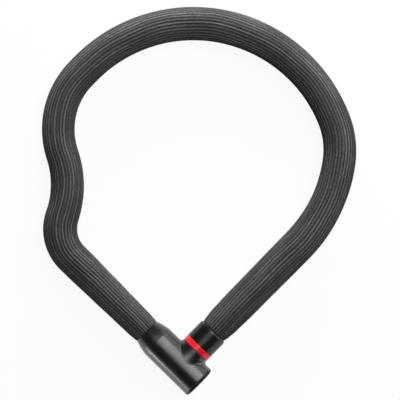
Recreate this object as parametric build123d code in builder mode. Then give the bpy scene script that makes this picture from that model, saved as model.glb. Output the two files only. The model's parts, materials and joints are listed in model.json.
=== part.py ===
"""Keyed chain lock in a padded, ribbed sleeve, lying shut on a table.

The lock head is a short barrel. Its axis is X: the key enters the +X end, and the
chain leaves through the neck at the -X end. The chain comes round in a loop and ends
in a plug, whose stud drops into the boss on the barrel's side along -Y. The whole
loop lies level, with +Z up. The origin is the middle of the lock's outline, on the
surface that the lock lies on.

Sizes are in millimetres. "head" is the point where the barrel's axis and the plug's
axis cross. Distances along the chain run from the neck's mouth to the collar's mouth.
"""
import math
import os
from dataclasses import dataclass

from build123d import *

# --- sleeve, padding and chain: their thickness sets both mouths -------------
sleeve_r = 15.5
sleeve_wall = 1.2
hose_play = 0.15
hose_wall = 2.95
hose_bore = sleeve_r - sleeve_wall - hose_play - hose_wall
tight_ease = 0.7           # more bore where links stand across a tight bend
tight_bend = 60.0
chain_play = 1.0           # round the chain, in the padding
link_wide = 2 * (hose_bore - chain_play)
bar = link_wide / 3.4      # square bar
bar_edge = 1.2
link_opening = link_wide - 2 * bar
link_slack = 1.0           # play at each joint of the chain, lying slack
link_count = 40
pin_r = 3.0
anchor_depth = 15.0        # anchor pin, inside the neck's mouth
slot_play = 0.3            # either side of a link in its slot
pin_inset = 0.4
hose_from_neck = 30.0
hose_from_collar = 20.0

# --- the sleeve's ends, clamped on a nose and under a lip at each mouth ------
slip = 0.2                 # room round the steel body in the housing
fit = 0.05                 # pins, bushes and rings in their seats
spigot_wall = 1.2
spigot_r = link_wide / 2 + spigot_wall
spigot_inset = 4.3         # the nose's and the shank's ends, inside the two mouths
clamp_thick = 0.6
clamp_length = 3.6
clamp_inset = 1.0
clamp_bore = spigot_r + fit + sleeve_wall + fit
cover_bore = clamp_bore + clamp_thick + fit
lip_hold = 0.7             # the lip closes in over the clamped sleeve
lip_bore = clamp_bore - lip_hold
lip_length = 2.4
lip_slope = 2.0
sleeve_tuck = 9.0          # length inside the mouth
sleeve_swell = 2.5         # length over which it swells from the mouth's lip
neck_taper = 60.0
collar_taper = 38.0

# --- plug ------------------------------------------------------------------
collar_wall = 1.5
collar_r = cover_bore + collar_wall
collar_length = 18.9
collar_lip_wall = 1.4
collar_mouth_r = lip_bore + collar_lip_wall
collar_shoulder = 2.8
collar_crown = 0.45
ring_proud = 0.1
ring_r = collar_r + ring_proud
ring_width = 5.9
ring_edge = 0.5
seat_gap = 0.3             # plug over boss, shut
plug_pin_depth = 12.0      # end link's pin, inside the collar's mouth

# --- lock head -------------------------------------------------------------
boss_proud = 0.05
boss_r = collar_r + boss_proud  # round boss that takes the plug
boss_inset = 1.6           # narrower than the barrel by this
barrel_r = boss_r + boss_inset  # moulded housing, outside
boss_rise = 2.6
boss_top = barrel_r + boss_rise
boss_blend = 2.5
boss_edge = 0.5
ring_top = boss_top + seat_gap + ring_width
collar_mouth = ring_top + collar_length
barrel_back = -31.5        # where the neck's taper begins
barrel_front = 22.0        # where the end cap begins
cap_front = 25.1           # end face, key side
cap_round = 3.0
neck_mouth = -45.0         # where the sleeve goes in
lip_wall = 0.9
neck_mouth_r = lip_bore + lip_wall
neck_step = 0.1
neck_bulge = 0.35          # the taper's crown over a straight cone
sleeve_proud = 0.4         # sleeve over the neck, just outside it
sleeve_mouth_r = neck_mouth_r + sleeve_proud
housing_wall = 1.9

# --- steel lock body inside the housing ------------------------------------
body_back = -33.0
body_front = 21.6
front_step = 2.0           # turned-down front that the end cap is pressed on
front_step_depth = 1.2

# --- stud and bush ---------------------------------------------------------
stud_r = 6.0
stud_tip = 1.5
stud_taper = 1.5
socket_clearance = 0.4     # lets the stud swing a little as it leaves
socket_floor = 1.0
groove_low = 4.5
groove_width = 3.2
groove_r = 4.0
bush_r = 9.0
bush_length = 6.0
bush_inset = 0.1
bush_high = boss_top - bush_inset
bush_low = bush_high - bush_length
bush_lead = 0.8

# --- key cylinder and latch ------------------------------------------------
cylinder_y = -4.0          # cylinder's axis, off the barrel's axis
shell_r = 8.0
shell_back = 11.2
face_inset = 0.5           # cylinder's face below the end cap's face
rotor_r = 5.5
rotor_back = 9.8
running = 0.05
clip_back = 10.2
clip_slot = 0.8
clip_depth = 0.9
clip_out = 1.1             # clip stands this far out of the rotor
clip_gap = 5.0
wafer_count = 6
wafer_first = 12.2
wafer_pitch = 1.6
wafer_thick = 1.0
wafer_width = 4.4
wafer_height = 10.0
wafer_window = (2.0, 6.6)
wafer_play = 0.1
wafer_drop = 1.0           # grooves in the shell that the wafers drop into
keyway = (1.6, 6.4)
crank_throw = 3.0
crank_swing = 45.0         # either side of the middle of the stroke
crank_pin_r = 1.5
latch_thick = 2.8
latch_play = 0.1
leg_thick = 2.4
leg_back = 6.6
fork_bite = 0.15           # fork's clearance on the groove's core
fork_half = 6.5
fork_arm = 0.75            # arm's end, short of the stud's axis
fork_back = 6.9
leg_low_z = -5.5
leg_high_z = 5.2
leg_end_y = -9.6
dowel_r = 1.0
dowel_x = 17.0
dowel_bite = 1.5

# --- the loop as it lies: turn (degrees, + is left), radius, straight run after it
bends = [
    (-63.0, 38.0, 3.0),
    (35.0, 90.0, 3.0),
    (-62.0, 75.0, 6.0),
    (-114.0, 142.0, 0.0),
    (-30.0, 80.0, 0.0),
    (-36.0, 140.0, 0.0),
]
first_heading = 180.0      # out of the neck
links_per_bend = 4         # links between two flexing places
first_flex_link = 5        # upright link that turns at the first flexing place
opening_angle = 16.0       # most that one flexing place turns
flex_room = 0.4            # left between two sleeve stretches at that turn


@dataclass
class Stretch:
    """One straight run or one arc of the loop's centreline."""

    x: float
    y: float
    heading: float
    length: float
    curvature: float

    def at(self, distance):
        """Place and heading some way along the stretch."""
        if self.curvature == 0:
            return (
                self.x + distance * math.cos(self.heading),
                self.y + distance * math.sin(self.heading),
                self.heading,
            )
        turned = self.heading + self.curvature * distance
        return (
            self.x + (math.sin(turned) - math.sin(self.heading)) / self.curvature,
            self.y - (math.cos(turned) - math.cos(self.heading)) / self.curvature,
            turned,
        )


def lay_out(first_run, last_run):
    """Stretches of the centreline, from the neck's mouth on, and where they end."""
    place = (neck_mouth, 0.0, math.radians(first_heading))
    laid = []
    pieces = [(first_run, 0.0)]
    for turn, radius, run in bends:
        pieces.append((math.radians(abs(turn)) * radius, math.copysign(1 / radius, turn)))
        pieces.append((run, 0.0))
    pieces.append((last_run, 0.0))
    for length, curvature in pieces:
        if length > 0:
            laid.append(Stretch(*place, length, curvature))
            place = laid[-1].at(length)
    return laid, place


# The first run lies along -X and the last along -Y, so each one closes the loop in
# its own direction.
loop_end = lay_out(0.0, 0.0)[1]
first_run = loop_end[0]
last_run = loop_end[1] - collar_mouth
loop, loop_end = lay_out(first_run, last_run)
loop_length = sum(stretch.length for stretch in loop)


def along(distance):
    """Place and heading at a distance from the neck's mouth, also inside the ends."""
    if distance < 0:
        return loop[0].at(distance)
    for stretch in loop:
        if distance <= stretch.length:
            return stretch.at(distance)
        distance -= stretch.length
    return loop[-1].at(loop[-1].length + distance)


def pieces_between(start, end, marks=()):
    """The centreline from start to end, cut where it changes and at the marks."""
    cuts = [0.0]
    for stretch in loop:
        cuts.append(cuts[-1] + stretch.length)
    stops = sorted({start, end, *[c for c in [*cuts[1:-1], *marks] if start < c < end]})
    found = []
    for low, high in zip(stops, stops[1:]):
        x, y, heading = along(low)
        middle = (low + high) / 2
        passed = [c for c in cuts[1:-1] if c < middle]
        curvature = loop[len(passed)].curvature
        found.append((low, high, Stretch(x, y, heading, high - low, curvature)))
    return found


# --- where the head stands: the origin is the middle of the outline, on the table
reach = [along(step) for step in range(int(loop_length) + 1)]
low_x = min(x for x, _, _ in reach) - sleeve_r
high_y = max(y for _, y, _ in reach) + sleeve_r
head = Vector(-(low_x + cap_front) / 2, -(high_y - barrel_r) / 2, barrel_r)
head_axis = Axis(head, (1, 0, 0))
plug_axis = Axis(head, (0, 1, 0))


def level(z=0.0):
    """Plane square to Z: its x is X and its y is Y."""
    return Plane(origin=head + Vector(0, 0, z))


def across(x, y=0.0, z=0.0):
    """Plane square to the barrel's axis: its x is Y and its y is Z."""
    return Plane(origin=head + Vector(x, y, z), x_dir=(0, 1, 0), z_dir=(1, 0, 0))


def facing(y, x=0.0, z=0.0):
    """Plane square to the plug's axis: its x is Z and its y is X."""
    return Plane(origin=head + Vector(x, y, z), x_dir=(0, 0, 1), z_dir=(0, 1, 0))


def save(piece, label):
    """Label a finished piece and write it."""
    piece.part.label = label
    export_step(piece.part, f"parts/{label}.step")


os.makedirs("parts", exist_ok=True)

# --- chain: pitch, pins and flexing places ---------------------------------
anchor_x = neck_mouth + anchor_depth
plug_pin_y = collar_mouth - plug_pin_depth
chain_room = loop_length + anchor_depth + plug_pin_depth
pitch = (chain_room + bar / 2 + pin_r + link_slack) / link_count
link_inside = pitch + link_slack
link_long = link_inside + 2 * bar
# An upright link turns sideways about the middles of its end bars.
upright_span = link_inside + bar
level_span = 2 * pitch - upright_span
joints = [-anchor_depth]
for number in range(link_count):
    joints.append(joints[-1] + (upright_span if number % 2 else level_span))
flex_joints = list(range(first_flex_link, link_count - 1, links_per_bend))
flex_places = [joints[number] for number in flex_joints]

# The flexing places share the opening so that the middle of the stud leaves the
# socket straight along +Y. Each share is the least that does so.
stud_middle = (stud_tip + boss_top) / 2
arms = [(along(place)[0], along(place)[1] - stud_middle) for place in flex_places]
sideways = sum(x * y for x, y in arms) / sum(y * y for _, y in arms)
shares = [-x + sideways * y for x, y in arms]
shares = [share / max(shares) for share in shares]

latch_stroke = 2 * crank_throw * math.sin(math.radians(crank_swing))
body_r = barrel_r - housing_wall - slip
slot_half = bar / 2 + slot_play
slot_wide = link_wide / 2 + slot_play

print(f"loop {loop_length:.1f} mm, runs {first_run:.1f} and {last_run:.1f}, pitch {pitch:.2f}")
print("head", head, "latch stroke", round(latch_stroke, 3))
print("shares", [round(share, 4) for share in shares])
print("flex places", [tuple(round(v, 3) for v in along(place)[:2]) for place in flex_places])

# --- housing cover: barrel, tapered neck and boss, moulded in one ----------
with BuildPart() as housing_cover:
    with BuildSketch(level()):
        with BuildLine():
            back = (neck_mouth, neck_mouth_r)
            front = (barrel_back, barrel_r - neck_step)
            crown = ((back[0] + front[0]) / 2, (back[1] + front[1]) / 2 + neck_bulge)
            ThreePointArc(back, crown, front)
            Polyline(front, (barrel_back, barrel_r), (barrel_front, barrel_r))
            Polyline((barrel_front, barrel_r), (barrel_front, 0), (neck_mouth, 0), back)
        make_face()
    revolve(axis=head_axis)
    with BuildSketch(facing(0)):
        Circle(boss_r)
    extrude(amount=boss_top)
    saddle = housing_cover.edges(Select.NEW).filter_by(GeomType.BSPLINE)
    fillet(saddle, boss_blend)
    fillet(housing_cover.edges().filter_by(GeomType.CIRCLE).sort_by(Axis.Y)[-1], boss_edge)
    # cavity for the steel body, the clamp ring and the sleeve's tucked end
    with BuildSketch(level()):
        Polygon(
            (neck_mouth, 0),
            (neck_mouth, lip_bore),
            (neck_mouth + lip_length, lip_bore),
            (neck_mouth + lip_length + lip_slope, cover_bore),
            (body_back, cover_bore),
            (body_back, body_r + slip),
            (barrel_front, body_r + slip),
            (barrel_front, 0),
            align=None,
        )
    revolve(axis=head_axis, mode=Mode.SUBTRACT)
    with BuildSketch(facing(0)):
        Circle(bush_r + fit)
    extrude(amount=boss_top, mode=Mode.SUBTRACT)
save(housing_cover, "housing_cover")

# --- end cap: pressed on the steel body's turned-down front -----------------
step_r = body_r - front_step_depth
step_back = body_front - front_step
with BuildPart() as end_cap:
    with BuildSketch(level()):
        with BuildLine():
            Polyline(
                (step_back + fit, step_r + fit),
                (step_back + fit, body_r),
                (barrel_front, body_r),
                (barrel_front, barrel_r),
                (cap_front - cap_round, barrel_r),
            )
            RadiusArc((cap_front - cap_round, barrel_r), (cap_front, barrel_r - cap_round), cap_round)
            Polyline(
                (cap_front, barrel_r - cap_round),
                (cap_front, 0),
                (body_front + fit, 0),
                (body_front + fit, step_r + fit),
                (step_back + fit, step_r + fit),
            )
        make_face()
    revolve(axis=head_axis)
    with BuildSketch(across(body_front, cylinder_y)):
        Circle(shell_r + fit)
    extrude(amount=cap_front - body_front, mode=Mode.SUBTRACT)
    cap_hole = end_cap.edges().filter_by(GeomType.CIRCLE).group_by(Axis.X)[-1].sort_by(Edge.length)[0]
    chamfer(cap_hole, face_inset / 2)
save(end_cap, "end_cap")

# --- steel lock body: holds the anchor pin, the latch, the cylinder and the stud
body_nose = neck_mouth + spigot_inset
link_slot_end = anchor_x + pin_r + link_slack + bar + slot_play
leg_front = leg_back + leg_thick
with BuildPart() as lock_barrel:
    with BuildSketch(level()):
        Polygon(
            (body_nose, 0),
            (body_nose, spigot_r),
            (body_back, spigot_r),
            (body_back, body_r),
            (step_back, body_r),
            (step_back, step_r),
            (body_front, step_r),
            (body_front, 0),
            align=None,
        )
    revolve(axis=head_axis)
    # socket for the stud, and the seat of its bush
    with BuildSketch(facing(socket_floor)):
        Circle(stud_r + socket_clearance)
    extrude(amount=barrel_r, mode=Mode.SUBTRACT)
    with BuildSketch(facing(bush_low)):
        Circle(bush_r + fit)
    extrude(amount=barrel_r, mode=Mode.SUBTRACT)
    # bore for the key cylinder
    with BuildSketch(across(rotor_back - latch_play, cylinder_y)):
        Circle(shell_r + fit)
    extrude(amount=barrel_front, mode=Mode.SUBTRACT)
    # slot for the first link, with the anchor pin across it
    with BuildSketch(level(-slot_half)):
        with Locations(((body_nose + link_slot_end) / 2, 0)):
            Rectangle(link_slot_end - body_nose, 2 * slot_wide)
    extrude(amount=2 * slot_half, mode=Mode.SUBTRACT)
    slot_end_corners = (
        lock_barrel.edges(Select.LAST).filter_by(Axis.Z).group_by(Axis.X)[-1]
    )
    fillet(slot_end_corners, link_wide / 4)
    with BuildSketch(level()):
        with Locations((anchor_x, 0)):
            Circle(pin_r + fit)
    extrude(amount=barrel_r, both=True, mode=Mode.SUBTRACT)
    # channels for the latch's fork and leg, open below so that it can be put in
    fork_low_y = groove_low + (groove_width - latch_thick) / 2
    with BuildSketch(facing(fork_low_y - latch_play, z=-barrel_r)):
        with Locations(((barrel_r - fork_arm + 2 * latch_play) / 2, (leg_front - fork_half) / 2)):
            Rectangle(barrel_r - fork_arm + 2 * latch_play, leg_front + fork_half + 2 * latch_play)
    extrude(amount=latch_thick + 2 * latch_play, mode=Mode.SUBTRACT)
    leg_top_y = fork_low_y + latch_thick
    with BuildSketch(across(leg_back - latch_play, leg_end_y - latch_play, -barrel_r)):
        Rectangle(
            leg_top_y - leg_end_y + 2 * latch_play,
            barrel_r + leg_high_z + latch_play,
            align=(Align.MIN, Align.MIN),
        )
    extrude(amount=leg_thick + 2 * latch_play, mode=Mode.SUBTRACT)
    # room for the crank pin between the leg's channel and the cylinder's bore
    with BuildSketch(across(leg_front, cylinder_y)):
        Circle(crank_throw + crank_pin_r + slip)
    extrude(amount=rotor_back - leg_front, mode=Mode.SUBTRACT)
    # hole for the dowel that holds the cylinder
    with BuildSketch(facing(-barrel_r, x=dowel_x)):
        Circle(dowel_r + fit)
    extrude(amount=barrel_r + cylinder_y - shell_r + dowel_bite, mode=Mode.SUBTRACT)
save(lock_barrel, "lock_barrel")

# --- hardened bush in the boss ----------------------------------------------
with BuildPart() as entry_bush:
    with BuildSketch(facing(bush_low)):
        Circle(bush_r)
        Circle(stud_r + socket_clearance, mode=Mode.SUBTRACT)
    extrude(amount=bush_high - bush_low)
    bush_mouth = entry_bush.edges().group_by(Axis.Y)[-1].sort_by(Edge.length)[0]
    chamfer(bush_mouth, bush_lead)
save(entry_bush, "entry_bush")

# --- key cylinder: shell, rotor, wafers, clip and dowel ---------------------
shell_front = cap_front - face_inset
with BuildPart() as cylinder_shell:
    with BuildSketch(across(shell_back, cylinder_y)):
        Circle(shell_r)
        Circle(rotor_r + running, mode=Mode.SUBTRACT)
    extrude(amount=shell_front - shell_back)
    # grooves that the wafers drop into when the key is out
    wafers_end = wafer_first + wafer_count * wafer_pitch
    with BuildSketch(across(wafer_first - wafer_play, cylinder_y)):
        Rectangle(wafer_width + 4 * wafer_play, 2 * (rotor_r + wafer_drop))
    extrude(amount=wafers_end - wafer_first, mode=Mode.SUBTRACT)
    with BuildSketch(facing(cylinder_y - shell_r, x=dowel_x)):
        Circle(dowel_r + fit)
    extrude(amount=dowel_bite, mode=Mode.SUBTRACT)
    chamfer(cylinder_shell.edges().group_by(Axis.X)[-1], 0.2)
save(cylinder_shell, "cylinder_shell")

# The crank pin stands below the rotor's axis, a quarter turn short of locked.
crank_y = -crank_throw * math.cos(math.radians(crank_swing))
crank_z = -crank_throw * math.sin(math.radians(crank_swing))
with BuildPart() as key_plug:
    with BuildSketch(across(rotor_back, cylinder_y)):
        Circle(rotor_r)
    extrude(amount=shell_front - rotor_back)
    chamfer(key_plug.edges().group_by(Axis.X)[-1], 0.3)
    with BuildSketch(across(clip_back, cylinder_y)):
        Circle(rotor_r)
        Circle(rotor_r - clip_depth, mode=Mode.SUBTRACT)
    extrude(amount=clip_slot, mode=Mode.SUBTRACT)
    for number in range(wafer_count):
        slot_at = wafer_first + number * wafer_pitch - wafer_play
        with BuildSketch(across(slot_at, cylinder_y)):
            Rectangle(wafer_width + 2 * wafer_play, 2 * rotor_r)
        extrude(amount=wafer_thick + 2 * wafer_play, mode=Mode.SUBTRACT)
    with BuildSketch(across(wafer_first - wafer_play, cylinder_y)):
        Rectangle(*keyway)
    extrude(amount=shell_front, mode=Mode.SUBTRACT)
    with BuildSketch(across(rotor_back, cylinder_y + crank_y, crank_z)):
        Circle(crank_pin_r)
    extrude(amount=leg_back - rotor_back)
save(key_plug, "key_plug")

with BuildPart() as wafers:
    for number in range(wafer_count):
        with BuildSketch(across(wafer_first + number * wafer_pitch, cylinder_y)):
            RectangleRounded(wafer_width, wafer_height, 0.4)
            Rectangle(*wafer_window, mode=Mode.SUBTRACT)
        extrude(amount=wafer_thick)
save(wafers, "wafers")

with BuildPart() as plug_clip:
    with BuildSketch(across(clip_back + fit, cylinder_y)):
        Circle(rotor_r + clip_out)
        Circle(rotor_r - clip_depth + fit, mode=Mode.SUBTRACT)
        with Locations((rotor_r, 0)):
            Rectangle(2 * (clip_depth + clip_out), clip_gap, mode=Mode.SUBTRACT)
    extrude(amount=clip_slot - 2 * fit)
save(plug_clip, "plug_clip")

with BuildPart() as cylinder_dowel:
    with BuildSketch(facing(-body_r + fit, x=dowel_x)):
        Circle(dowel_r)
    extrude(amount=body_r + cylinder_y - shell_r + dowel_bite - 2 * fit)
    chamfer(cylinder_dowel.edges().group_by(Axis.Y)[0], 0.2)
save(cylinder_dowel, "cylinder_dowel")

# --- latch: a fork that bites the stud's groove, and a leg on the crank -----
# At rest it is drawn back by its whole stroke, clear of the stud.
with BuildPart() as latch_plate:
    with BuildSketch(facing(fork_low_y, z=-latch_stroke)):
        with Locations((-(fork_back + fork_arm) / 2, (leg_front - fork_half) / 2)):
            Rectangle(fork_back - fork_arm, leg_front + fork_half)
        Circle(groove_r + fork_bite, mode=Mode.SUBTRACT)
    extrude(amount=latch_thick)
    with BuildSketch(across(leg_back, leg_end_y, leg_low_z - latch_stroke)):
        Rectangle(leg_top_y - leg_end_y, leg_high_z - leg_low_z, align=(Align.MIN, Align.MIN))
    extrude(amount=leg_thick)
    # slot that the crank pin drives, long enough for the pin's sideways swing
    with BuildSketch(across(leg_back, cylinder_y + (crank_y - crank_throw) / 2, crank_z)):
        SlotCenterToCenter(crank_throw + crank_y + 2 * latch_play, 2 * (crank_pin_r + latch_play + fit))
    extrude(amount=leg_thick, mode=Mode.SUBTRACT)
save(latch_plate, "latch_plate")

with BuildPart() as chain_anchor_pin:
    with BuildSketch(level()):
        with Locations((anchor_x, 0)):
            Circle(pin_r)
    extrude(amount=math.sqrt(body_r**2 - pin_r**2) - pin_inset, both=True)
    chamfer(chain_anchor_pin.edges().filter_by(GeomType.CIRCLE), 0.4)
save(chain_anchor_pin, "chain_anchor_pin")

# --- crimped rings over the sleeve's two tucked ends ------------------------
with BuildPart() as neck_clamp_ring:
    with BuildSketch(across(body_nose + clamp_inset)):
        Circle(clamp_bore + clamp_thick)
        Circle(clamp_bore, mode=Mode.SUBTRACT)
    extrude(amount=clamp_length)
save(neck_clamp_ring, "neck_clamp_ring")

with BuildPart() as collar_clamp_ring:
    with BuildSketch(facing(collar_mouth - spigot_inset - clamp_inset)):
        Circle(clamp_bore + clamp_thick)
        Circle(clamp_bore, mode=Mode.SUBTRACT)
    extrude(amount=-clamp_length)
save(collar_clamp_ring, "collar_clamp_ring")

# --- plug: stud and shank turned in one, red ring, collar and end pin -------
shank_low = boss_top + seat_gap
shank_high = collar_mouth - spigot_inset
plug_slot_end = plug_pin_y - pin_r - link_slack - bar - slot_play
with BuildPart() as locking_stud:
    with BuildSketch(level()):
        Polygon(
            (0, stud_tip),
            (stud_r - stud_taper, stud_tip),
            (stud_r, stud_tip + stud_taper),
            (stud_r, groove_low),
            (groove_r, groove_low),
            (groove_r, groove_low + groove_width),
            (stud_r, groove_low + groove_width),
            (stud_r, shank_low),
            (spigot_r, shank_low),
            (spigot_r, shank_high),
            (0, shank_high),
            align=None,
        )
    revolve(axis=plug_axis)
    with BuildSketch(facing(plug_slot_end)):
        Rectangle(2 * spigot_r, 2 * slot_half)
    extrude(amount=shank_high - plug_slot_end, mode=Mode.SUBTRACT)
    with BuildSketch(across(-spigot_r, plug_pin_y)):
        Circle(pin_r + fit)
    extrude(amount=2 * spigot_r, mode=Mode.SUBTRACT)
save(locking_stud, "locking_stud")

with BuildPart() as end_link_pin:
    with BuildSketch(across(0, plug_pin_y)):
        Circle(pin_r)
    extrude(amount=math.sqrt(spigot_r**2 - pin_r**2) - pin_inset, both=True)
    chamfer(end_link_pin.edges().filter_by(GeomType.CIRCLE), 0.4)
save(end_link_pin, "end_link_pin")

with BuildPart() as red_ring:
    with BuildSketch(facing(shank_low)):
        Circle(ring_r)
        Circle(spigot_r + fit, mode=Mode.SUBTRACT)
    extrude(amount=ring_top - shank_low)
    outer_edges = [edges.sort_by(Edge.length)[-1] for edges in red_ring.edges().group_by(Axis.Y)[::2]]
    fillet(outer_edges, ring_edge)
save(red_ring, "red_ring")

tuck_end = collar_mouth - sleeve_tuck
with BuildPart() as end_collar:
    with BuildSketch(level()):
        with BuildLine():
            Polyline(
                (spigot_r + fit, ring_top),
                (collar_r, ring_top),
                (collar_r, collar_mouth - collar_shoulder),
            )
            ThreePointArc(
                (collar_r, collar_mouth - collar_shoulder),
                (collar_r - collar_crown, collar_mouth - 0.4 * collar_shoulder),
                (collar_mouth_r, collar_mouth),
            )
            Polyline(
                (collar_mouth_r, collar_mouth),
                (lip_bore, collar_mouth),
                (lip_bore, collar_mouth - lip_length),
                (cover_bore, collar_mouth - lip_length - lip_slope),
                (cover_bore, tuck_end - slip),
                (spigot_r + fit, tuck_end - slip),
                (spigot_r + fit, ring_top),
            )
        make_face()
    revolve(axis=plug_axis)
save(end_collar, "end_collar")


# --- sleeve, padding and chain, in stretches between the flexing places -----
def sleeve_outline(taper):
    """(depth, radius) of the sleeve's outside, out from a mouth; inside is minus."""
    tucked = clamp_bore - fit
    return [
        (-sleeve_tuck, tucked),
        (-lip_length - lip_slope, tucked),
        (-lip_length, lip_bore - 2 * fit),
        (0.0, lip_bore - 2 * fit),
        (sleeve_swell, sleeve_mouth_r),
        (taper, sleeve_r),
    ]


outline = sleeve_outline(neck_taper)
outline += [(loop_length - depth, radius) for depth, radius in sleeve_outline(collar_taper)[::-1]]
tight_spans = [
    (low - pitch, high + pitch)
    for low, high, stretch in pieces_between(0.0, loop_length)
    if abs(stretch.curvature) > 1 / tight_bend
]
bore_steps = [mark for span in tight_spans for mark in span]
tiny = 1e-6


def sleeve_radius(distance):
    """Outside radius of the sleeve at a distance from the neck's mouth."""
    for (low, low_r), (high, high_r) in zip(outline, outline[1:]):
        if distance <= high:
            return low_r + (high_r - low_r) * max(distance - low, 0.0) / (high - low)
    return outline[-1][1]


def padding_bore(distance):
    """Inside radius of the padding, wider where the chain goes round a tight bend."""
    near = [abs(distance - low) + abs(distance - high) - (high - low) for low, high in tight_spans]
    return hose_bore + tight_ease if near and min(near) <= 0 else hose_bore


def lay_tube(start, end, outside, bore):
    """Tube along the centreline; outside and bore give radii by distance."""
    with BuildPart() as tube:
        for low, high, stretch in pieces_between(start, end, bore_steps):
            place = head + Vector(stretch.x, stretch.y, 0)
            ahead = (math.cos(stretch.heading), math.sin(stretch.heading), 0)
            left = (-ahead[1], ahead[0], 0)
            if stretch.curvature:
                with BuildSketch(Plane(origin=place, x_dir=left, z_dir=ahead)):
                    Circle(outside(low))
                    Circle(bore((low + high) / 2), mode=Mode.SUBTRACT)
                centre = place + Vector(*left) / stretch.curvature
                up = (0, 0, math.copysign(1, stretch.curvature))
                turn = math.degrees(abs(stretch.curvature) * stretch.length)
                revolve(axis=Axis(centre, up), revolution_arc=turn)
            else:
                stops = [low, *[mark for mark, _ in outline if low < mark < high], high]
                skin = [(stop - low, outside(stop)) for stop in stops]
                lining = [(stop - low, bore(min(max(stop, low + tiny), high - tiny))) for stop in stops]
                with BuildSketch(Plane(origin=place, x_dir=ahead, z_dir=(0, 0, 1))):
                    Polygon(*skin, *reversed(lining), align=None)
                revolve(axis=Axis(place, ahead))
    return tube


# One link, lying level, with its length along X.
with BuildPart() as link:
    with BuildSketch():
        SlotOverall(link_long, link_wide)
        SlotOverall(link_inside, link_opening, mode=Mode.SUBTRACT)
    extrude(amount=bar / 2, both=True)
    chamfer(link.edges().group_by(Axis.Z)[0] + link.edges().group_by(Axis.Z)[-1], bar_edge)


def link_plane(number):
    """Where a link lies: level links are even, upright ones odd."""
    near = Vector(*along(joints[number])[:2], 0)
    far = Vector(*along(joints[number + 1])[:2], 0)
    ahead = (far - near).normalized()
    side = Vector(-ahead.Y, ahead.X, 0) if number % 2 else Vector(0, 0, 1)
    return Plane(origin=head + (near + far) / 2, x_dir=ahead, z_dir=side)


# The gap at a flexing place closes on one side as it turns, which is the shorter
# side where that side is inside a bend.
room = []
for place, share in zip(flex_places, shares):
    _, _, stretch = pieces_between(place - bar, place + bar)[0]
    inside_bend = max(0.0, math.copysign(sleeve_r, share) * stretch.curvature)
    closing = 2 * sleeve_r * math.tan(math.radians(abs(share) * opening_angle) / 2)
    room.append((closing + flex_room) / (1 - inside_bend))
sleeve_starts = [-sleeve_tuck] + [place + gap / 2 for place, gap in zip(flex_places, room)]
sleeve_ends = [place - gap / 2 for place, gap in zip(flex_places, room)]
sleeve_ends.append(loop_length + sleeve_tuck)
first_links = [0] + flex_joints
last_links = flex_joints + [link_count]

for index, (start, end) in enumerate(zip(sleeve_starts, sleeve_ends)):
    name = f"{index + 1:02d}"
    sleeve = lay_tube(start, end, sleeve_radius, lambda at: sleeve_radius(at) - sleeve_wall)
    save(sleeve, f"sleeve_{name}")

    padding_hose = lay_tube(
        max(start, hose_from_neck),
        min(end, loop_length - hose_from_collar),
        lambda at: sleeve_radius(at) - sleeve_wall - hose_play,
        padding_bore,
    )
    save(padding_hose, f"padding_hose_{name}")

    with BuildPart() as chain_links:
        for number in range(first_links[index], last_links[index]):
            with Locations(link_plane(number)):
                add(link.part)
    save(chain_links, f"chain_links_{name}")
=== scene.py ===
"""Looks of a keyed chain lock in a ribbed knit sleeve, lying shut on a pale table.

Everything is in metres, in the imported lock's own frame. The key enters the barrel
along -X, the sleeved chain leaves the neck along -X, goes round, and comes back to
the boss along -Y as the plug.
"""
import json
import math

import bmesh
import bpy
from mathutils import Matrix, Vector


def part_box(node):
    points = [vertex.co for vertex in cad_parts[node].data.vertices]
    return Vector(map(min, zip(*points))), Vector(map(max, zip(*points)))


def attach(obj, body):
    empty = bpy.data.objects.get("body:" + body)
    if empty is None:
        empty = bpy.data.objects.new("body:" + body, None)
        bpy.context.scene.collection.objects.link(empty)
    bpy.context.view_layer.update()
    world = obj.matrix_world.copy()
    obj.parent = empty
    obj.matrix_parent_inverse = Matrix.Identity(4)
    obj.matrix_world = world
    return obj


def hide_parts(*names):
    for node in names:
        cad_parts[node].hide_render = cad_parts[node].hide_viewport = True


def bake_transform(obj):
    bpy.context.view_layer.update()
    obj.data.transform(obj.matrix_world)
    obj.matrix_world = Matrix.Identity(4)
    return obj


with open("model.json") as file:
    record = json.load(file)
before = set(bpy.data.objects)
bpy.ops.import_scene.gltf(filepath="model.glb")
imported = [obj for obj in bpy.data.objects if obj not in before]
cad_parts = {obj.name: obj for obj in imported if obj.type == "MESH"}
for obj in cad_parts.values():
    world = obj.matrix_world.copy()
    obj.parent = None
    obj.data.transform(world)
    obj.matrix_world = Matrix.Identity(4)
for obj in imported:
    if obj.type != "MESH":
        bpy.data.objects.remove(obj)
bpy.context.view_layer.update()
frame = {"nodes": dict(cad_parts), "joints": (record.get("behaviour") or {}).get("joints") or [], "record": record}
nodes = frame["nodes"]
scene = bpy.context.scene

# --- where the head stands ---------------------------------------------------
MM = 0.001
BARREL_RADIUS = 16.5 * MM
KEY_FACE_OUT = 25.1 * MM        # end cap's face, from the crossing of the two axes
NECK_MOUTH_OUT = 45.0 * MM
COLLAR_MOUTH_OUT = 44.2 * MM
BOSS_RADIUS = 14.9 * MM
BOSS_TOP_OUT = 19.1 * MM
CAP_SEAM_OUT = 22.0 * MM

barrel_corner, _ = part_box("housing_cover")
_, key_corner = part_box("end_cap")
# HEAD is where the barrel's axis and the plug's cross.
HEAD = Vector((
    key_corner.x - KEY_FACE_OUT,
    barrel_corner.y + BARREL_RADIUS,
    barrel_corner.z + BARREL_RADIUS,
))

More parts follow.
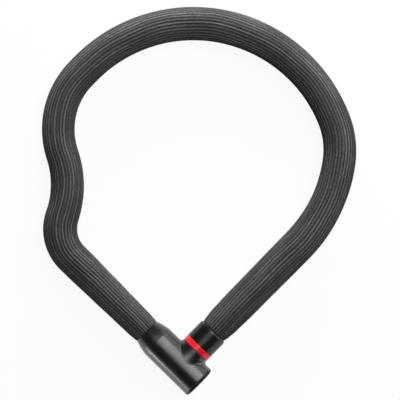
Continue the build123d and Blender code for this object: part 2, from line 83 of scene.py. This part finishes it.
# --- the loop as it lies: turn (degrees, + is left), radius, straight run after it
LOOP_BENDS = [
    (-63.0, 38.0 * MM, 3.0 * MM),
    (35.0, 90.0 * MM, 3.0 * MM),
    (-62.0, 75.0 * MM, 6.0 * MM),
    (-114.0, 142.0 * MM, 0.0),
    (-30.0, 80.0 * MM, 0.0),
    (-36.0, 140.0 * MM, 0.0),
]
SEARCH_STEP = 0.5 * MM          # along the loop, when looking for its nearest point

# --- the knit sleeve -----------------------------------------------------------
RIBS_ROUND = 32
POINTS_PER_RIB = 10
RIB_HEIGHT = 0.030              # share of the sleeve's radius
RIB_FULLNESS = 1.35             # over 1 makes narrow crests and wide troughs
RING_STEP = 2.0 * MM            # along the sleeve
LEAST_RING_STEP = 0.1 * MM
LIP_DEPTH = 2.4 * MM            # sleeve's visible edge, inside the two mouths
MOUTH_REACH = 12.0 * MM         # near a mouth, each stop of the girth has its own ring
BLEND_REACH = 26.0 * MM         # either side of a flexing place
RIB_WANDER = 2.2                # degrees that the ribs wander round the sleeve,
LONG_WANDER = 23.0 * MM         # in a long wave and half as much in a short one,
SHORT_WANDER = 8.7 * MM         # each given as sleeve for one radian of its wave

# Girth along the sleeve, in millimetres: distance from the neck's mouth, outside radius.
SLEEVE_GIRTH = [
    (-2.4, 11.7), (-0.3, 11.8), (0.1, 12.9), (1.2, 13.2), (11.0, 13.9), (30.0, 14.3),
    (56.0, 15.0), (90.0, 15.8), (125.0, 16.1), (160.0, 15.7), (200.0, 15.4), (420.0, 15.8),
    (560.0, 15.3), (640.0, 15.7), (700.0, 16.35), (775.0, 15.8), (800.0, 15.2),
    (808.5, 14.3), (812.0, 13.6), (813.1, 13.1), (813.5, 11.8), (815.6, 11.7),
]


def lay_stretches(first_run, last_run):
    """Straight runs and arcs of the centreline, and where it ends."""
    place, heading = Vector((-NECK_MOUTH_OUT, 0.0)), math.pi
    pieces = [(first_run, 0.0)]
    for turn, radius, run in LOOP_BENDS:
        pieces.append((math.radians(abs(turn)) * radius, math.copysign(1.0 / radius, turn)))
        pieces.append((run, 0.0))
    pieces.append((last_run, 0.0))
    laid = []
    for length, curvature in pieces:
        if length > 0:
            laid.append((place, heading, length, curvature))
            place, heading = walk(laid[-1], length)
    return laid, place


def walk(stretch, distance):
    """Place and heading some way along one stretch."""
    place, heading, _, curvature = stretch
    if curvature == 0:
        return place + distance * Vector((math.cos(heading), math.sin(heading))), heading
    turned = heading + curvature * distance
    across = Vector((math.sin(turned) - math.sin(heading), math.cos(heading) - math.cos(turned)))
    return place + across / curvature, turned


# The bends alone say how long the two straight end runs must be to reach both mouths.
bends_end = lay_stretches(0.0, 0.0)[1]
LOOP, _ = lay_stretches(bends_end.x, bends_end.y - COLLAR_MOUTH_OUT)
LOOP_LENGTH = sum(stretch[2] for stretch in LOOP)


def along_loop(distance):
    """Centreline point and heading at a distance from the neck's mouth."""
    left = distance
    for stretch in LOOP:
        if left <= stretch[2] or stretch is LOOP[-1]:
            place, heading = walk(stretch, left)
            return HEAD + Vector((place.x, place.y, 0.0)), heading
        left -= stretch[2]


def nearest_distance(point):
    """Distance along the loop that comes nearest to a point."""
    steps = int(LOOP_LENGTH / SEARCH_STEP)
    stops = [LOOP_LENGTH * i / steps for i in range(steps + 1)]
    return min(stops, key=lambda stop: (along_loop(stop)[0] - point).length)


def sleeve_radius(distance):
    """Sleeve's outside radius, eased between the girth's stops."""
    stops = [(at * MM, radius * MM) for at, radius in SLEEVE_GIRTH]
    if distance <= stops[0][0]:
        return stops[0][1]
    for (low, low_radius), (high, high_radius) in zip(stops, stops[1:]):
        if distance <= high:
            share = (distance - low) / (high - low)
            return low_radius + (high_radius - low_radius) * share * share * (3 - 2 * share)
    return stops[-1][1]


# --- small helpers --------------------------------------------------------------
class Tree:
    """Adds and joins nodes in a node tree."""

    def __init__(self, tree):
        self.tree = tree

    def add(self, kind, inputs=None, **settings):
        """New node, with its settings made and its inputs filled or joined."""
        node = self.tree.nodes.new(kind)
        for name, value in settings.items():
            setattr(node, name, value)
        for key, value in (inputs or {}).items():
            self.put(node.inputs[key], value)
        return node

    def put(self, socket, value):
        """Fills a socket with a value, or joins it to a socket or a node's first output."""
        if isinstance(value, bpy.types.NodeSocket):
            self.tree.links.new(value, socket)
        elif isinstance(value, bpy.types.Node):
            self.tree.links.new(value.outputs[0], socket)
        else:
            socket.default_value = value

    def math(self, operation, a, b=0.0, clamp=False):
        return self.add("ShaderNodeMath", {0: a, 1: b}, operation=operation, use_clamp=clamp).outputs[0]

    def times(self, a, b):
        return self.math("MULTIPLY", a, b)

    def plus(self, a, b):
        return self.math("ADD", a, b)

    def less(self, a, b):
        return self.math("SUBTRACT", a, b)

    def ease(self, value, low, high, to_low=0.0, to_high=1.0):
        """Value eased from the range low to high into the range to_low to to_high."""
        node = self.add("ShaderNodeMapRange", interpolation_type="SMOOTHSTEP")
        limits = {"From Min": low, "From Max": high, "To Min": to_low, "To Max": to_high}
        for key, number in {"Value": value, **limits}.items():
            self.put(node.inputs[key], number)
        return node.outputs[0]

    def noise(self, place, cells, detail, roughness=0.5):
        """Noise from 0 to 1, with so many cells for each unit of the place."""
        return self.add("ShaderNodeTexNoise", {
            "Vector": place, "Scale": cells, "Detail": detail, "Roughness": roughness,
        }).outputs["Fac"]

    def object_place(self):
        return self.add("ShaderNodeTexCoord").outputs["Object"]

    def mix_colour(self, share, a, b, blend="MIX"):
        """Mix of two colours, from a at a share of 0 to b at 1."""
        # The node's colour sockets come after those for numbers and vectors.
        inputs = {0: share, 6: a, 7: b}
        return self.add("ShaderNodeMix", inputs, data_type="RGBA", blend_type=blend).outputs[2]

    def bump(self, shader, strength, depth, height):
        """Gives a shader's surface a fine relief from a height pattern."""
        relief = self.add("ShaderNodeBump", {"Strength": strength, "Distance": depth, "Height": height})
        self.put(shader.inputs["Normal"], relief)


def new_material(name):
    """Empty material with its shader and output; returns it, its tree and its shader."""
    material = bpy.data.materials.new(name)
    material.use_nodes = True
    material.node_tree.nodes.clear()
    tree = Tree(material.node_tree)
    shader = tree.add("ShaderNodeBsdfPrincipled")
    output = tree.add("ShaderNodeOutputMaterial")
    tree.put(output.inputs["Surface"], shader)
    return material, tree, shader


def colour(red, green, blue):
    return (red, green, blue, 1.0)


def grey(level):
    return colour(level, level, level)


def add_object(name, data):
    """New object at the origin, in the scene."""
    made = bpy.data.objects.new(name, data)
    scene.collection.objects.link(made)
    return made


# --- finishes --------------------------------------------------------------------
# KNIT_CREST_HIGHLIGHT is a painted highlight on the rib crests and KNIT_GROOVE_SHADE is painted shade in the
# grooves; KNIT_FLANK is the yarn's own charcoal.
KNIT_GROOVE_SHADE = colour(0.024, 0.024, 0.025)
KNIT_FLANK = colour(0.067, 0.067, 0.069)
KNIT_CREST_HIGHLIGHT = colour(0.168, 0.168, 0.172)
COURSE_PITCH = 1.25 * MM        # knit rows
STITCH_LEAN = 0.9               # rows that a stitch climbs from crest to groove
YARN_WAVER = 0.06               # radians that the pale crests waver on their ribs
FLUFF_CELLS = 2600.0            # for each metre


def knit_finish():
    """Charcoal ribbed knit: painted highlight on the thin rib crests, painted shade in the grooves, slanted
    stitches.
    """
    material, tree, shader = new_material("charcoal_rib_knit")
    round_x = tree.add("ShaderNodeAttribute", attribute_name="round_x").outputs["Fac"]
    round_y = tree.add("ShaderNodeAttribute", attribute_name="round_y").outputs["Fac"]
    along = tree.add("ShaderNodeAttribute", attribute_name="along").outputs["Fac"]

    def knit_noise(across, lengthwise, detail):
        """Noise that follows the sleeve: cells across one radian, cells along one metre."""
        place = tree.add("ShaderNodeCombineXYZ", {
            0: tree.times(round_x, across),
            1: tree.times(round_y, across),
            2: tree.times(along, lengthwise),
        })
        return tree.noise(place, cells=1.0, detail=detail)

    # Place on the rib: 0 on its crest, 1 in the groove. The added RIBS_ROUND keeps the sum above 0.
    angle = tree.math("ARCTAN2", round_y, round_x)
    waver = tree.less(knit_noise(across=4.0, lengthwise=60.0, detail=1.0), 0.5)
    angle = tree.plus(angle, tree.times(waver, YARN_WAVER))
    ribs_passed = tree.times(angle, RIBS_ROUND / math.tau)
    rib = tree.math("FRACT", tree.plus(ribs_passed, RIBS_ROUND + 0.5))
    off_crest = tree.times(tree.math("ABSOLUTE", tree.less(rib, 0.5)), 2.0)

    # Stitches lean away from each crest, one row for each course.
    row = tree.plus(tree.math("DIVIDE", along, COURSE_PITCH), tree.times(off_crest, STITCH_LEAN))
    row_wave = tree.math("SINE", tree.times(row, math.tau))
    row_wave = tree.plus(tree.times(row_wave, 0.5), 0.5)
    fluff = tree.noise(tree.object_place(), cells=FLUFF_CELLS, detail=2.0)

    # Each crest gets a painted highlight that comes and goes along the sleeve, over an even flank, and each groove
    # gets painted shade.
    crest_highlight_strength = tree.ease(knit_noise(across=4.2, lengthwise=5.0, detail=1.0), 0.36, 0.62)
    crest_highlight_mask = tree.times(tree.ease(off_crest, 0.42, 0.0), crest_highlight_strength)
    groove_shade_mask = tree.ease(off_crest, 0.62, 1.0)
    base = tree.mix_colour(crest_highlight_mask, KNIT_FLANK, KNIT_CREST_HIGHLIGHT)
    base = tree.mix_colour(groove_shade_mask, base, KNIT_GROOVE_SHADE)

    # The yarn's own light and dark: stitch rows, short dashes, wear and fluff.
    dashes = tree.ease(knit_noise(across=20.0, lengthwise=320.0, detail=2.0), 0.34, 0.66, 0.82, 1.16)
    worn = tree.ease(knit_noise(across=2.0, lengthwise=26.0, detail=3.0), 0.3, 0.7, 0.82, 1.16)
    thread = tree.times(tree.ease(row_wave, 0.0, 0.85, 0.75, 1.10), dashes)
    thread = tree.times(thread, worn)
    thread = tree.times(thread, tree.ease(fluff, 0.3, 0.7, 0.85, 1.12))
    tint = tree.add("ShaderNodeCombineColor", {0: thread, 1: thread, 2: thread})
    tree.put(shader.inputs["Base Color"], tree.mix_colour(1.0, base, tint, "MULTIPLY"))

    relief = tree.plus(tree.times(row_wave, 0.6), tree.times(fluff, 0.4))
    relief = tree.plus(relief, tree.times(dashes, 0.3))
    tree.bump(shader, strength=0.6, depth=0.25 * MM, height=relief)
    shader.inputs["Roughness"].default_value = 0.92
    shader.inputs["Specular IOR Level"].default_value = 0.03
    return material


def moulded_finish(name, dark, light, roughness, grain, gloss, lacquer=0.0):
    """Moulded plastic with a fine spark-eroded grain and slight handling marks."""
    material, tree, shader = new_material(name)
    place = tree.object_place()
    fine = tree.noise(place, cells=2400.0, detail=2.0, roughness=0.55)
    broad = tree.noise(place, cells=55.0, detail=3.0, roughness=0.6)
    tree.put(shader.inputs["Base Color"], tree.mix_colour(tree.ease(fine, 0.35, 0.65), dark, light))
    rubbed = tree.ease(broad, 0.35, 0.7, -0.04, 0.05)
    sparkle = tree.ease(fine, 0.3, 0.7, -0.03, 0.03)
    tree.put(shader.inputs["Roughness"], tree.plus(tree.plus(rubbed, sparkle), roughness))
    tree.bump(shader, strength=grain, depth=0.04 * MM, height=fine)
    shader.inputs["Specular IOR Level"].default_value = gloss
    shader.inputs["Coat Weight"].default_value = lacquer
    shader.inputs["Coat Roughness"].default_value = roughness
    return material


def metal_finish(name, dark, light, roughness, stretch):
    """Turned, plated or ground metal; stretch lengthens its fine marks along one way."""
    material, tree, shader = new_material(name)
    place = tree.object_place()
    mapped = tree.add("ShaderNodeMapping", {"Vector": place, "Scale": stretch})
    marks = tree.noise(mapped, cells=900.0, detail=3.0, roughness=0.65)
    stains = tree.noise(place, cells=130.0, detail=4.0)
    tree.put(shader.inputs["Base Color"], tree.mix_colour(tree.ease(stains, 0.3, 0.7), dark, light))
    tree.put(shader.inputs["Roughness"], tree.plus(tree.ease(marks, 0.3, 0.7, -0.05, 0.07), roughness))
    tree.bump(shader, strength=0.2, depth=0.02 * MM, height=marks)
    shader.inputs["Metallic"].default_value = 1.0
    return material


EVEN_MARKS = (1.0, 1.0, 1.0)
TURNED_MARKS = (0.1, 1.0, 1.0)      # long marks along X
STAMPED_MARKS = (1.0, 1.0, 0.2)     # long marks along Z

sleeve_knit = knit_finish()
cover_black = moulded_finish(
    "satin_black_cover", grey(0.005), grey(0.011),
    roughness=0.32, grain=0.02, gloss=0.5, lacquer=0.6)
collar_black = moulded_finish(
    "satin_black_collar", grey(0.004), grey(0.008), roughness=0.34, grain=0.03, gloss=0.45)
cap_black = moulded_finish(
    "matt_black_cap", grey(0.004), grey(0.008), roughness=0.55, grain=0.1, gloss=0.2)
ring_red = moulded_finish(
    "signal_red_ring", colour(0.70, 0.014, 0.022), colour(0.78, 0.020, 0.030),
    roughness=0.3, grain=0.1, gloss=0.5)
padding_foam = moulded_finish(
    "padding_hose_rubber", grey(0.02), grey(0.05), roughness=0.8, grain=0.8, gloss=0.3)
chain_steel = metal_finish(
    "zinc_plated_chain", colour(0.42, 0.42, 0.41), colour(0.58, 0.57, 0.54),
    roughness=0.38, stretch=EVEN_MARKS)
lock_steel = metal_finish(
    "turned_lock_steel", colour(0.42, 0.42, 0.43), colour(0.56, 0.56, 0.57),
    roughness=0.28, stretch=TURNED_MARKS)
cylinder_nickel = metal_finish(
    "nickel_plated_cylinder", colour(0.52, 0.50, 0.46), colour(0.66, 0.63, 0.58),
    roughness=0.25, stretch=TURNED_MARKS)
wafer_brass = metal_finish(
    "stamped_brass_wafers", colour(0.55, 0.38, 0.14), colour(0.70, 0.52, 0.22),
    roughness=0.33, stretch=STAMPED_MARKS)

SLOT_FINISH = {
    "cover_black": cover_black,
    "ring_red": ring_red,
    "sleeve_knit": sleeve_knit,
    "padding_rubber": padding_foam,
    "chain_steel": chain_steel,
    "lock_steel": lock_steel,
    "cylinder_nickel": cylinder_nickel,
    "wafer_brass": wafer_brass,
}
NODE_FINISH = {"end_collar": collar_black, "end_cap": cap_black}

for subpart in frame["record"]["subparts"]:
    node = nodes[subpart["node"]]
    finish = NODE_FINISH.get(subpart["node"], SLOT_FINISH[subpart["material_slot"]])
    node.data.materials.clear()
    node.data.materials.append(finish)


# --- the knit sleeve's node tree ---------------------------------------------------
def rib_knit_tree():
    """Sweeps a ribbed ring along the centreline; radius comes from the curve."""
    group = bpy.data.node_groups.new("rib_knit_sleeve", "GeometryNodeTree")
    face = group.interface
    face.new_socket("Centreline", in_out="INPUT", socket_type="NodeSocketGeometry")
    for name, kind, value in (
        ("Ribs Round", "NodeSocketInt", RIBS_ROUND),
        ("Points Per Rib", "NodeSocketInt", POINTS_PER_RIB),
        ("Rib Height", "NodeSocketFloat", RIB_HEIGHT),
        ("Rib Fullness", "NodeSocketFloat", RIB_FULLNESS),
    ):
        socket = face.new_socket(name, in_out="INPUT", socket_type=kind)
        socket.default_value = value
    face.new_socket("Knit", in_out="INPUT", socket_type="NodeSocketMaterial")
    face.new_socket("Sleeve", in_out="OUTPUT", socket_type="NodeSocketGeometry")

    tree = Tree(group)
    given = tree.add("NodeGroupInput").outputs
    points = tree.times(given["Ribs Round"], given["Points Per Rib"])
    ring = tree.add("GeometryNodeCurvePrimitiveCircle", {"Resolution": points, "Radius": 1.0})
    spot = tree.add("GeometryNodeInputPosition")
    split = tree.add("ShaderNodeSeparateXYZ", {0: spot})
    angle = tree.math("ARCTAN2", split.outputs[1], split.outputs[0])
    wave = tree.math("COSINE", tree.times(angle, given["Ribs Round"]))
    wave = tree.plus(tree.times(wave, 0.5), 0.5)
    trough = tree.less(1.0, tree.math("POWER", wave, given["Rib Fullness"]))
    scale = tree.less(1.0, tree.times(trough, given["Rib Height"]))
    ribbed_spot = tree.add("ShaderNodeVectorMath", {0: spot, "Scale": scale}, operation="SCALE")
    profile = tree.add("GeometryNodeSetPosition", {"Geometry": ring, "Position": ribbed_spot})
    for name, value in (
        ("round_x", tree.math("COSINE", angle)),
        ("round_y", tree.math("SINE", angle)),
    ):
        profile = tree.add(
            "GeometryNodeStoreNamedAttribute", {"Geometry": profile, "Name": name, "Value": value},
            data_type="FLOAT", domain="POINT")
    radius = tree.add("GeometryNodeInputRadius")
    sweep = tree.add("GeometryNodeCurveToMesh", {
        "Curve": given["Centreline"], "Profile Curve": profile, "Scale": radius})
    smooth = tree.add("GeometryNodeSetShadeSmooth", {"Geometry": sweep})
    real = tree.add("GeometryNodeRealizeInstances", {"Geometry": smooth})
    dressed = tree.add("GeometryNodeSetMaterial", {"Geometry": real, "Material": given["Knit"]})
    tree.put(tree.add("NodeGroupOutput").inputs["Sleeve"], dressed)
    return group


knit_group = rib_knit_tree()


def ring_stops(start, end):
    """Where the sleeve's rings lie between two distances, both included."""
    steps = round((end - start) / RING_STEP)
    stops = [start + (end - start) * i / steps for i in range(steps + 1)]
    for girth_stop, _ in SLEEVE_GIRTH:
        at = girth_stop * MM
        near_mouth = at < MOUTH_REACH or at > LOOP_LENGTH - MOUTH_REACH
        if start < at < end and near_mouth:
            stops.append(at)
    stops = sorted(set(stops))
    # A stop that follows too close on another makes no ring of its own.
    return [stop for i, stop in enumerate(stops) if i == 0 or stop - stops[i - 1] > LEAST_RING_STEP]


def sleeve_line(name, stops):
    """Centreline curve through the stops, with the sleeve's radius and the ribs' wander."""
    line = bpy.data.curves.new(name, "CURVE")
    line.dimensions = "3D"
    line.twist_mode = "Z_UP"
    spline = line.splines.new("POLY")
    spline.points.add(len(stops) - 1)
    for point, stop in zip(spline.points, stops):
        point.co = (*along_loop(stop)[0], 1.0)
        point.radius = sleeve_radius(stop)
        waves = math.sin(stop / LONG_WANDER) + 0.5 * math.sin(stop / SHORT_WANDER)
        point.tilt = math.radians(RIB_WANDER) * waves
    return add_object(name, line)


def knit_stretch(name, start, end):
    """One stretch of the sleeve, as a plain mesh, from start to end along the loop."""
    stops = ring_stops(start, end)
    # A spare ring past each end keeps the end rings square to the line.
    line = sleeve_line(name + "_line", [start - RING_STEP, *stops, end + RING_STEP])
    modifier = line.modifiers.new("knit", "NODES")
    modifier.node_group = knit_group
    for item in knit_group.interface.items_tree:
        if item.item_type == "SOCKET" and item.in_out == "INPUT" and item.name == "Knit":
            modifier[item.identifier] = sleeve_knit
    bpy.context.view_layer.update()
    settled = line.evaluated_get(bpy.context.evaluated_depsgraph_get())
    mesh = bpy.data.meshes.new_from_object(settled)
    line.modifiers.clear()
    bpy.data.objects.remove(line)

    round_points = RIBS_ROUND * POINTS_PER_RIB
    trimmed = bmesh.new()
    trimmed.from_mesh(mesh)
    trimmed.verts.ensure_lookup_table()
    spare = trimmed.verts[:round_points] + trimmed.verts[-round_points:]
    bmesh.ops.delete(trimmed, geom=spare, context="VERTS")
    trimmed.to_mesh(mesh)
    trimmed.free()
    along = mesh.attributes.new("along", "FLOAT", "POINT")
    for i, stop in enumerate(stops):
        for j in range(round_points):
            along.data[i * round_points + j].value = stop
    return add_object(name, mesh)


# Each stretch holds one flexing place, and is cut midway to the next.
flex_joints = sorted(
    (joint for joint in frame["joints"] if joint["name"].startswith("loop_flex_")),
    key=lambda joint: joint["name"],
)
flex_stops = [nearest_distance(Vector(joint["pos_m"])) for joint in flex_joints]
cuts = [-LIP_DEPTH]
cuts += [(low + high) / 2 for low, high in zip(flex_stops, flex_stops[1:])]
cuts += [LOOP_LENGTH + LIP_DEPTH]

for index, joint in enumerate(flex_joints):
    piece = knit_stretch(f"knit_sleeve_{index + 1:02d}", cuts[index], cuts[index + 1])
    covered = [f"sleeve_{index + 1:02d}"]
    if joint is flex_joints[-1]:
        covered.append(f"sleeve_{index + 2:02d}")
    along_loop(flex_stops[index] - BLEND_REACH)[0]
    along_loop(flex_stops[index] + BLEND_REACH)[0]
    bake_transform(piece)
    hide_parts(*covered)


# --- moulded trim on the head ----------------------------------------------------------
TRIM_ROUND = 120                # points round a strip of trim
TRIM_SHARP_EDGE = 50.0          # degrees

SWEEP_STEPS = 20
SWEEP_ON_TOP = 1.2 * MM         # how much wider than the boss the sweep starts, above and below
SWEEP_AT_SIDE = 3.4 * MM        # and at the boss's two sides
SWEEP_ON_BOSS = 8.0 * MM
SWEEP_MOST = 0.85               # of the room that the boss has there
SWEEP_BACK = 0.5 * MM           # its inner edge, under the barrel's skin

# Lip at the end cap's seam, in millimetres: along the barrel, and out from its skin.
LIP_PROFILE = [
    (-0.60, -0.15), (-0.42, 0.10), (-0.18, 0.24), (0.06, 0.28), (0.28, 0.22), (0.46, 0.05),
    (0.55, -0.15),
]
LIP_SINKS = 0.35                # millimetres, where it goes under the barrel's skin
LIP_FADE_FROM = -0.7            # cosine of the turn from the top where it starts to sink
LIP_FADE_OVER = 0.2             # and how much further the cosine goes until it has sunk


def ring_strip(name, rings, finish):
    """Closed band made of rings of points, each joined to the next and the last to the first."""
    count = len(rings[0])
    points = [HEAD + point for ring in rings for point in ring]
    faces = []
    for i in range(len(rings)):
        this = i * count
        after = (i + 1) % len(rings) * count
        for j in range(count):
            beside = (j + 1) % count
            faces.append((this + j, this + beside, after + beside, after + j))
    mesh = bpy.data.meshes.new(name)
    mesh.from_pydata(points, [], faces)
    skin = bmesh.new()
    skin.from_mesh(mesh)
    bmesh.ops.recalc_face_normals(skin, faces=skin.faces)
    skin.to_mesh(mesh)
    skin.free()
    mesh.shade_smooth()
    mesh.set_sharp_from_angle(angle=math.radians(TRIM_SHARP_EDGE))
    mesh.materials.append(finish)
    piece = add_object(name, mesh)
    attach(piece, "lock_head")
    return piece


def boss_sweep():
    """Long smooth sweep from the barrel's side into the boss."""
    rings = []
    for i in range(TRIM_ROUND):
        turn = math.tau * i / TRIM_ROUND
        side, up = math.sin(turn), math.cos(turn)
        crease = math.sqrt(BARREL_RADIUS ** 2 - (BOSS_RADIUS * up) ** 2)
        foot = BOSS_RADIUS + SWEEP_ON_TOP + (SWEEP_AT_SIDE - SWEEP_ON_TOP) * side * side
        start = Vector((foot * side, math.sqrt(BARREL_RADIUS ** 2 - (foot * up) ** 2), foot * up))
        out = Vector((0.0, start.y, start.z)) / BARREL_RADIUS
        reach = min(SWEEP_ON_BOSS, SWEEP_MOST * (BOSS_TOP_OUT - crease))
        end = Vector((BOSS_RADIUS * side, crease + reach, BOSS_RADIUS * up))
        corner = end - Vector((0.0, (end - start).dot(out) / out.y, 0.0))
        curve = []
        for step in range(SWEEP_STEPS + 1):
            share = step / SWEEP_STEPS
            curve.append(start * (1 - share) ** 2 + corner * 2 * share * (1 - share) + end * share ** 2)
        inner = Vector((BOSS_RADIUS * side, crease, BOSS_RADIUS * up)) - out * SWEEP_BACK
        rings.append([*curve, inner])
    return ring_strip("boss_sweep", rings, cover_black)


def cap_seam():
    """Rounded lip where the cover meets the end cap; it sinks away under the barrel."""
    rings = []
    for i in range(TRIM_ROUND):
        turn = math.tau * i / TRIM_ROUND
        faded = (LIP_FADE_FROM - math.cos(turn)) / LIP_FADE_OVER
        sunk = LIP_SINKS * max(0.0, min(1.0, faded))
        ring = []
        for along, out in LIP_PROFILE:
            radius = BARREL_RADIUS + (out - sunk) * MM
            side, up = radius * math.sin(turn), radius * math.cos(turn)
            ring.append(Vector((CAP_SEAM_OUT + along * MM, side, up)))
        rings.append(ring)
    return ring_strip("cap_seam", rings, cover_black)


for trim in (boss_sweep(), cap_seam()):
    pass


# --- table, light and camera ---------------------------------------------------------
TABLE_HALF = 3.0
TABLE_SEEN = grey(0.90)         # where it is looked at, straight, mirrored or through glass
TABLE_UNSEEN = grey(0.12)       # for the light that it bounces up at the lock
TABLE_GLOW = 0.93               # share of its seen colour that is plain white light
ROOM_LIGHT = 0.02

VIEW_TURN = math.radians(44.5)
VIEW_CENTRE = Vector((0.0290, -0.0153, 0.0165))
VIEW_WIDTH = 0.376
LENS = 260.0
SENSOR = 36.0


def table_finish():
    """Pale table: nearly plain white light where it is looked at, and dark to all other light."""
    material = bpy.data.materials.new("white_table")
    material.use_nodes = True
    material.node_tree.nodes.clear()
    tree = Tree(material.node_tree)
    glow = tree.add("ShaderNodeEmission", {"Color": grey(1.0), "Strength": 1.0})
    ray = tree.add("ShaderNodeLightPath").outputs
    seen = tree.plus(ray["Is Camera Ray"], ray["Is Glossy Ray"])
    seen = tree.math("ADD", seen, ray["Is Transmission Ray"], clamp=True)
    matt = tree.add("ShaderNodeBsdfDiffuse", {
        "Color": tree.mix_colour(seen, TABLE_UNSEEN, TABLE_SEEN)})
    surface = tree.add("ShaderNodeMixShader", {0: tree.times(seen, TABLE_GLOW), 1: matt, 2: glow})
    tree.put(tree.add("ShaderNodeOutputMaterial").inputs["Surface"], surface)
    return material


def lay_table():
    """Flat square table at height 0, which the lock lies on."""
    corners = [(x * TABLE_HALF, y * TABLE_HALF, 0.0) for x, y in ((-1, -1), (1, -1), (1, 1), (-1, 1))]
    mesh = bpy.data.meshes.new("table")
    mesh.from_pydata(corners, [], [(0, 1, 2, 3)])
    mesh.materials.append(table_finish())
    add_object("table", mesh)


def soft_light(name, turn, rise, away, width, height, brightness, glare=True):
    """Area lamp that faces the lock: its bearing and height in degrees, and its distance.

    A lamp without glare is like one behind a polarising sheet: it lights the lock but
    leaves no reflection of itself.
    """
    turn, rise = math.radians(turn), math.radians(rise)
    level = math.cos(rise)
    outward = Vector((level * math.cos(turn), level * math.sin(turn), math.sin(rise)))
    lamp = bpy.data.lights.new(name, "AREA")
    lamp.shape = "RECTANGLE"
    lamp.size, lamp.size_y = width, height
    lamp.energy = brightness * math.pi * width * height
    holder = add_object(name, lamp)
    holder.location = away * outward
    holder.rotation_euler = outward.to_track_quat("Z", "Y").to_euler()
    holder.visible_glossy = glare


lay_table()
soft_light("top_panel", turn=90, rise=87, away=1.5, width=0.75, height=0.42, brightness=4.0)
soft_light("key_panel", turn=83, rise=55, away=1.3, width=0.42, height=1.1, brightness=7.0)
soft_light("back_panel", turn=92, rise=10, away=1.5, width=0.6, height=0.5, brightness=3.2)
soft_light("right_panel", turn=38, rise=14, away=1.5, width=0.35, height=0.5, brightness=9.0)
soft_light("low_strip", turn=-90, rise=2.2, away=1.3, width=0.22, height=0.10, brightness=50.0)
soft_light("end_panel", turn=-8, rise=8, away=1.3, width=0.4, height=0.25, brightness=2.0)
soft_light("side_panel", turn=138, rise=10, away=1.5, width=1.2, height=0.5, brightness=25.0, glare=False)

world = bpy.data.worlds.new("studio")
scene.world = world
world.use_nodes = True
world.node_tree.nodes.clear()
studio = Tree(world.node_tree)
wall = studio.add("ShaderNodeBackground", {"Color": grey(1.0), "Strength": ROOM_LIGHT})
studio.put(studio.add("ShaderNodeOutputWorld").inputs["Surface"], wall)

# The camera looks straight down, far off, with its top edge turned by VIEW_TURN.
camera = bpy.data.cameras.new("camera")
camera.lens = LENS
camera.sensor_width = SENSOR
camera_holder = add_object("camera", camera)
camera_holder.location = VIEW_CENTRE + Vector((0.0, 0.0, VIEW_WIDTH * LENS / SENSOR))
camera_holder.rotation_euler = (0.0, 0.0, VIEW_TURN)
scene.camera = camera_holder

scene.view_settings.view_transform = "Standard"
